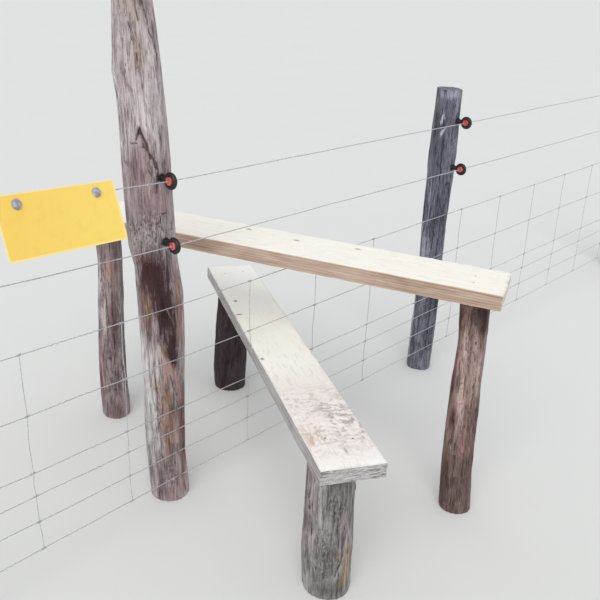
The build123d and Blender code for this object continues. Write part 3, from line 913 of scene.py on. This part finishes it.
def tube(points, radius, name, sides):
    """A round wire through points, as a mesh. Sides is the curve's bevel resolution."""
    data = bpy.data.curves.new(name, "CURVE")
    data.dimensions = "3D"
    data.bevel_depth = radius
    data.bevel_resolution = sides
    data.use_fill_caps = True
    spline = data.splines.new("POLY")
    spline.points.add(len(points) - 1)
    for place, point in zip(spline.points, points):
        place.co = (*point, 1)
    select_only(new_object(name, data))
    bpy.ops.object.convert(target="MESH")
    bpy.ops.object.shade_smooth()
    return bpy.context.active_object


def zinc(name, light, dark):
    """Galvanised wire: dull mottled zinc with darker soiling in patches."""
    material, tree = new_material(name)
    light, dark = colour(*light), colour(*dark)
    here = place_in(tree)
    mottle = grains(tree, here, 260, 5, 0.65)
    base = lay(tree, dark, light, mottle, 0.35, 0.65)
    base = lay(tree, base, dark, grains(tree, here, 14, 3, 0.5), 0.55, 0.70, 0.5)
    roughness = levels(tree, mottle, 0.3, 0.7, 0.38, 0.62)
    return finish_material(material, base, roughness, (mottle, 0.3, 0.0004), Metallic=0.55)


# Rings on each post: the top wire's and the second wire's
RINGS = {
    "hand_post": ((-0.0639, -0.0744, 1.037), (-0.0539, -0.0790, 0.861)),
    "split_post": ((1.2939, -0.0861, 1.069), (1.3026, -0.0882, 0.893)),
    "left_end_post": ((-1.3130, -0.2022, 1.100), (-1.3111, -0.2041, 0.924)),
    "right_end_post": ((3.3255, -0.0740, 1.115), (3.3274, -0.0761, 0.939)),
}
# Ends of the net wires on each post, from low to high
NET_ENDS = {
    "hand_post": ((-0.0062, -0.0545, 0.092), (-0.0123, -0.0519, 0.180), (-0.0154, -0.0524, 0.262),
                  (-0.0181, -0.0529, 0.333), (-0.0239, -0.0564, 0.502), (-0.0321, -0.0562, 0.671)),
    "split_post": ((1.3424, -0.0518, 0.124), (1.3390, -0.0523, 0.212), (1.3358, -0.0529, 0.294),
                   (1.3328, -0.0530, 0.365), (1.3215, -0.0496, 0.534), (1.3113, -0.0484, 0.703)),
    "left_end_post": ((-1.2960, -0.1777, 0.155), (-1.2968, -0.1758, 0.243), (-1.2976, -0.1741, 0.325),
                      (-1.2982, -0.1725, 0.396), (-1.3024, -0.1711, 0.565), (-1.3072, -0.1701, 0.734)),
    "right_end_post": ((3.3428, -0.0502, 0.170), (3.3419, -0.0482, 0.258), (3.3411, -0.0464, 0.340),
                       (3.3405, -0.0448, 0.411), (3.3360, -0.0434, 0.580), (3.3313, -0.0423, 0.749)),
}
# Near and far post of each bay, and where its first stay stands
BAYS = {
    "left_bay": ("hand_post", "left_end_post", 0.190),
    "middle_bay": ("hand_post", "split_post", 0.285),
    "right_bay": ("split_post", "right_end_post", 0.110),
}
LINE_WIRE = 0.0015  # radii of the wires
NET_WIRE = 0.00125
STAY_WIRE = 0.0010
STAPLE_WIRE = 0.0017
STAY_SPACING = 0.300
CRIMPS = (0.10, 0.20)  # places of the crimps beyond each stay
CRIMP_REACH = 0.018
CRIMP_RISE = 0.0016
OVER_TREAD = 4  # the net wire just over the lower tread, counted from 0


def wavy_run(start, end, seed, sway=0.0012, crimps=(), step=0.006):
    """Points along a wire between two places: a slow waver, and crimps at distances along it."""
    start, end = Vector(start), Vector(end)
    run = end - start
    count = max(2, int(run.length / step))
    points = []
    for place in range(count + 1):
        share = place / count
        along = share * run.length
        hold = min(1.0, 12 * share, 12 * (1 - share))
        slow = noise.noise_vector(Vector((along * 6, seed * 7.3, 0.5))) * sway * hold
        rise = 0.0
        for crimp in crimps:
            if abs(along - crimp) < CRIMP_REACH:
                rise += CRIMP_RISE * math.sin((along - crimp) / CRIMP_REACH * 2 * math.pi)
        points.append(start + run * share + Vector((0, slow.y, slow.z + rise)))
    return points


def line_wires(steel):
    for number, wire in enumerate(("top_wire", "second_wire")):
        for bay, (near, far, _) in BAYS.items():
            name = wire + "_" + bay
            points = wavy_run(RINGS[near][number], RINGS[far][number], number + len(bay), step=0.02)
            strand = settle(tube(points, LINE_WIRE, "strand", 2), name + "_strand")
            dress(strand, steel, name)


def tie_place(near, far, level, along):
    """The place on a net wire at a distance from its near post."""
    start, end = Vector(NET_ENDS[near][level]), Vector(NET_ENDS[far][level])
    return start + (end - start).normalized() * along


def wrap_pattern():
    """The two short coils of a hinged joint, wound round a line wire that runs along X."""
    radius, gap, pitch = 0.0022, 0.0015, 0.0021
    coils = []
    for side in (-1, 1):
        points = []
        for step in range(19):
            turns = step / 8
            turn = 2 * math.pi * turns + 1.5 * side
            points.append((side * (gap + pitch * turns), radius * math.sin(turn), radius * math.cos(turn)))
        coils.append(tube(points, STAY_WIRE, "coil", 0))
    return joined(coils, "wrap")


def netting(bay, steel):
    """Crimped line wires, bowed stays, and a wound joint wherever they cross."""
    near, far, first = BAYS[bay]
    ends = list(zip(NET_ENDS[near], NET_ENDS[far]))
    span = min((Vector(end) - Vector(start)).length for start, end in ends)
    stays = [first + STAY_SPACING * number for number in range(int((span - first) // STAY_SPACING) + 1)]
    crimps = [stay + shift for stay in stays for shift in CRIMPS]
    strands = []
    for level, (start, end) in enumerate(ends):
        points = wavy_run(start, end, level + len(bay), 0.0022, crimps)
        strands.append(tube(points, NET_WIRE, "strand", 1))
    joints = []
    for number, stay in enumerate(stays):
        for level, (_, end) in enumerate(ends):
            knot = tie_place(near, far, level, stay)
            heading = math.atan2(end[1] - knot.y, end[0] - knot.x)
            joints.append(Matrix.Translation(knot) @ Matrix.Rotation(heading, 4, "Z")
                          @ Matrix.Rotation(number * 1.3 + level, 4, "X"))
            is_bent_stay = bay == "middle_bay" and number == 0 and level == OVER_TREAD - 1
            if is_bent_stay or level == len(ends) - 1:
                continue
            above = tie_place(near, far, level + 1, stay)
            shift = Vector((0, -0.0020, 0))
            bow = Vector((0.003 * math.sin(number * 2.1 + level), 0.0015, 0))
            up = Vector((0, 0, 0.006))
            points = [knot + shift * 0.6, knot + shift + up, (knot + above) / 2 + shift + bow,
                      above + shift - up, above + shift * 0.6]
            strands.append(tube(points, STAY_WIRE, "stay", 1))
    strands.append(copies(wrap_pattern(), "joints", joints))
    dress(joined(strands, "netting_" + bay + "_wires"), steel, "netting_" + bay)


def bent_stay(steel):
    """The stay that meets the lower tread, bent over the plank's edge and down its side."""
    tie = tie_place("hand_post", "split_post", OVER_TREAD, BAYS["middle_bay"][2])
    corner = Vector((0.2262, -0.1034, 0.4818))
    points = [tie + Vector((0, -0.0018, 0)), tie + Vector((-0.0020, -0.0040, -0.003)),
              tie.lerp(corner, 0.5) + Vector((0, 0, 0.0025)), corner + Vector((0.002, 0.003, 0.0018)),
              corner, corner + Vector((-0.0016, -0.0035, -0.005)),
              corner + Vector((-0.0050, -0.0095, -0.022)), Vector((0.2179, -0.1187, 0.4430))]
    piece = settle(tube(points, STAY_WIRE, "stay", 2), "bent_stay_wire")
    dress(piece, steel, "bent_stay")


def staples(steel):
    """A staple over each net wire on each post, its crown set a little askew."""
    crown = [(0, 0.010, -0.0045), (0, -0.0022, -0.0045), (0, -0.0038, -0.0032), (0, -0.0042, 0),
             (0, -0.0038, 0.0032), (0, -0.0022, 0.0045), (0, 0.010, 0.0045)]
    places = []
    for post, ends in NET_ENDS.items():
        for level, end in enumerate(ends):
            askew = 0.35 + 0.25 * math.sin(level * 2.7 + len(post))
            places.append(Matrix.Translation(end) @ Matrix.Rotation(askew, 4, "Y"))
    staple = tube(crown, STAPLE_WIRE, "staple", 1)
    dress(copies(staple, "staples", places), steel, None)


# Ring insulators

ALONG_X = (0, math.radians(90), 0)
ALONG_Y = (math.radians(90), 0, 0)
RING_RADIUS = 0.0169
RING_SECTION = 0.0060
NECK_RADIUS = 0.0079
FLANGE_RADIUS = 0.0118
RIB_PITCH = 0.0034
CORE_RADIUS = 0.0113
CORE_LENGTH = 0.0178


def insulator_body():
    """A black ring on a ribbed neck with a flange, its hole along X and its neck towards +Y."""
    ring = settle(torus(RING_RADIUS, RING_SECTION, 48, 14, ALONG_X), "ring")
    ring.scale = (1.12, 1, 1)
    settle(ring, "ring")
    neck = cylinder(NECK_RADIUS, 0.018, 28, ALONG_Y, (0, 0.0270, 0))
    flange = cylinder(FLANGE_RADIUS, 0.0050, 12, ALONG_Y, (0, 0.0360, 0))
    apply_modifier(flange, "BEVEL", width=0.0009, segments=3)
    ribs = []
    for step in range(3):
        ribs.append(torus(NECK_RADIUS - 0.0005, 0.0010, 28, 8, ALONG_Y, (0, 0.0240 + RIB_PITCH * step, 0)))
    body = joined([ring, neck, flange, *ribs], "insulator")
    smooth(body, 40)
    return body


def insulator_core():
    """The core that fills the ring and grips the wire: a blunt plug with a slot for the wire."""
    core = settle(cylinder(CORE_RADIUS, CORE_LENGTH, 40, ALONG_X), "core")
    apply_modifier(core, "BEVEL", width=0.0022, segments=4, limit_method="ANGLE",
                   angle_limit=math.radians(50))
    select_faces(core, lambda face: abs(face.normal.x) > 0.99)
    bpy.ops.mesh.inset(thickness=0.0028, depth=0.0)
    bpy.ops.mesh.inset(thickness=0.0008, depth=-0.0012)
    bpy.ops.object.mode_set(mode="OBJECT")
    cut(core, box((0.030, 0.0034, 0.016), (0, 0, 0.008)))
    smooth(core, 35)
    return core


def moulding(name, light, dark, roughness, coat=0.0):
    """Moulded plastic: a fine skin, a little chalky bloom, and dust in patches."""
    material, tree = new_material(name)
    here = place_in(tree)
    skin = grains(tree, here, 700, 3, 0.5)
    dust = grains(tree, here, 60, 5, 0.65)
    base = lay(tree, colour(*dark), colour(*light), dust, 0.45, 0.70)
    rough = levels(tree, dust, 0.3, 0.7, roughness, roughness + 0.18)
    return finish_material(material, base, rough, (skin, 0.25, 0.0003), Coat_Weight=coat,
                           Coat_Roughness=0.15)


def insulators():
    black = moulding("black_moulding", (46, 44, 46), (16, 15, 17), 0.38)
    red = moulding("red_moulding", (226, 116, 102), (192, 68, 62), 0.26, 0.4)
    for post, rings in RINGS.items():
        places = [Matrix.Translation(ring) for ring in rings]
        body = copies(insulator_body(), post + "_ring_insulators", places)
        dress(body, black, post + "_insulators")
        core = copies(insulator_core(), post + "_ring_cores", places)
        dress(core, red, post + "_insulator_cores")


# Sign

SIGN_SIZE = (0.3176, 0.1436, 0.0019)
SIGN_TILT = math.radians(24.5)
SIGN_START = 0.183  # from the hand post's ring to the plate, along the wire
SIGN_MIDDLE = (SIGN_START + 0.159, 0.048)
BUTTONS = (0.056, 0.266)  # from the plate's near end
BUTTON_RADIUS = 0.0118


def sign_frame():
    """The sign's own frame: X along the wire, Y down the plate, Z out of its front."""
    start = Vector(RINGS["hand_post"][0])
    way = (Vector(RINGS["left_end_post"][0]) - start).normalized()
    outward = Vector((-way.y, way.x, 0)).normalized()
    front = outward * math.cos(SIGN_TILT) + way.cross(outward) * math.sin(SIGN_TILT)
    turn = Matrix((way, front.cross(way), front)).transposed()
    return Matrix.Translation(start) @ turn.to_4x4()


def sign():
    """A bare plate with a raised rim, two domed buttons, and the clips behind it."""
    place = sign_frame()
    plate = settle(box(SIGN_SIZE), "sign_board")
    select_edges(plate, lambda first, second: abs(first.z - second.z) > 0.001)
    bpy.ops.mesh.bevel(offset=0.007, segments=6)
    select_faces(plate, lambda face: face.normal.z > 0.9)
    bpy.ops.mesh.inset(thickness=0.0034, depth=0.0)
    bpy.ops.mesh.inset(thickness=0.0006, depth=-0.0004)
    bpy.ops.object.mode_set(mode="OBJECT")
    plate.matrix_world = place @ Matrix.Translation((*SIGN_MIDDLE, 0.0028))
    settle(plate, "sign_board")
    dress(plate, sign_yellow(place), "sign_plate")

    bpy.ops.mesh.primitive_uv_sphere_add(segments=36, ring_count=20, radius=BUTTON_RADIUS)
    dome = bpy.context.active_object
    dome.scale = (1, 1, 0.64)
    edit_all(settle(dome, "dome"))
    bpy.ops.mesh.bisect(plane_co=(0, 0, 0.0004), plane_no=(0, 0, 1), clear_inner=True, use_fill=True)
    bpy.ops.object.mode_set(mode="OBJECT")
    foot = torus(BUTTON_RADIUS - 0.0008, 0.0010, 36, 8, location=(0, 0, 0.0009))
    button = joined([dome, foot], "button")
    smooth(button, 50)
    places = [place @ Matrix.Translation((SIGN_START + along, 0, 0.0037)) for along in BUTTONS]
    grey = moulding("grey_moulding", (196, 198, 214), (142, 144, 162), 0.30, 0.4)
    dress(copies(button, "sign_domes", places), grey, "sign_buttons")
    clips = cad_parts["sign_clips"]
    clips.data.materials.clear()
    clips.data.materials.append(grey)


def sign_yellow(place):
    """Yellow plastic: a paler rim, faint scuffs, and a film of grime in patches."""
    material, tree = new_material("sign_yellow")
    here = place_in(tree, place @ Vector((*SIGN_MIDDLE, 0)), place.to_euler())
    along, down, _ = add_node(tree, "ShaderNodeSeparateXYZ", {0: here}).outputs
    rim = reckon(tree, "MAXIMUM", levels(tree, size_of(tree, along), 0.1548, 0.1552),
                 levels(tree, size_of(tree, down), 0.0678, 0.0682))
    grime = grains(tree, here, 26, 5, 0.65)
    base = lay(tree, colour(253, 212, 98), colour(255, 222, 108), along, 0.14, -0.14)
    base = lay(tree, base, colour(232, 184, 84), grime, 0.50, 0.75, 0.30)
    base = tint(tree, rim, base, colour(254, 230, 150))
    base = lay(tree, base, colour(255, 234, 160), grains(tree, here, 120, 4), 0.62, 0.72, 0.2)
    roughness = levels(tree, grime, 0.3, 0.7, 0.36, 0.55)
    skin = grains(tree, here, 520, 3)
    return finish_material(material, base, roughness, (skin, 0.2, 0.0003), Coat_Weight=0.15)


floor()
daylight()
camera()
hand_post()
split_post()
end_posts()
lower_tread_legs()
upper_tread_legs()
planks()
steel = zinc("fence_zinc", (222, 224, 227), (168, 170, 174))
line_wires(steel)
for bay in BAYS:
    netting(bay, steel)
bent_stay(steel)
staples(zinc("staple_zinc", (170, 172, 176), (96, 96, 100)))
insulators()
sign()
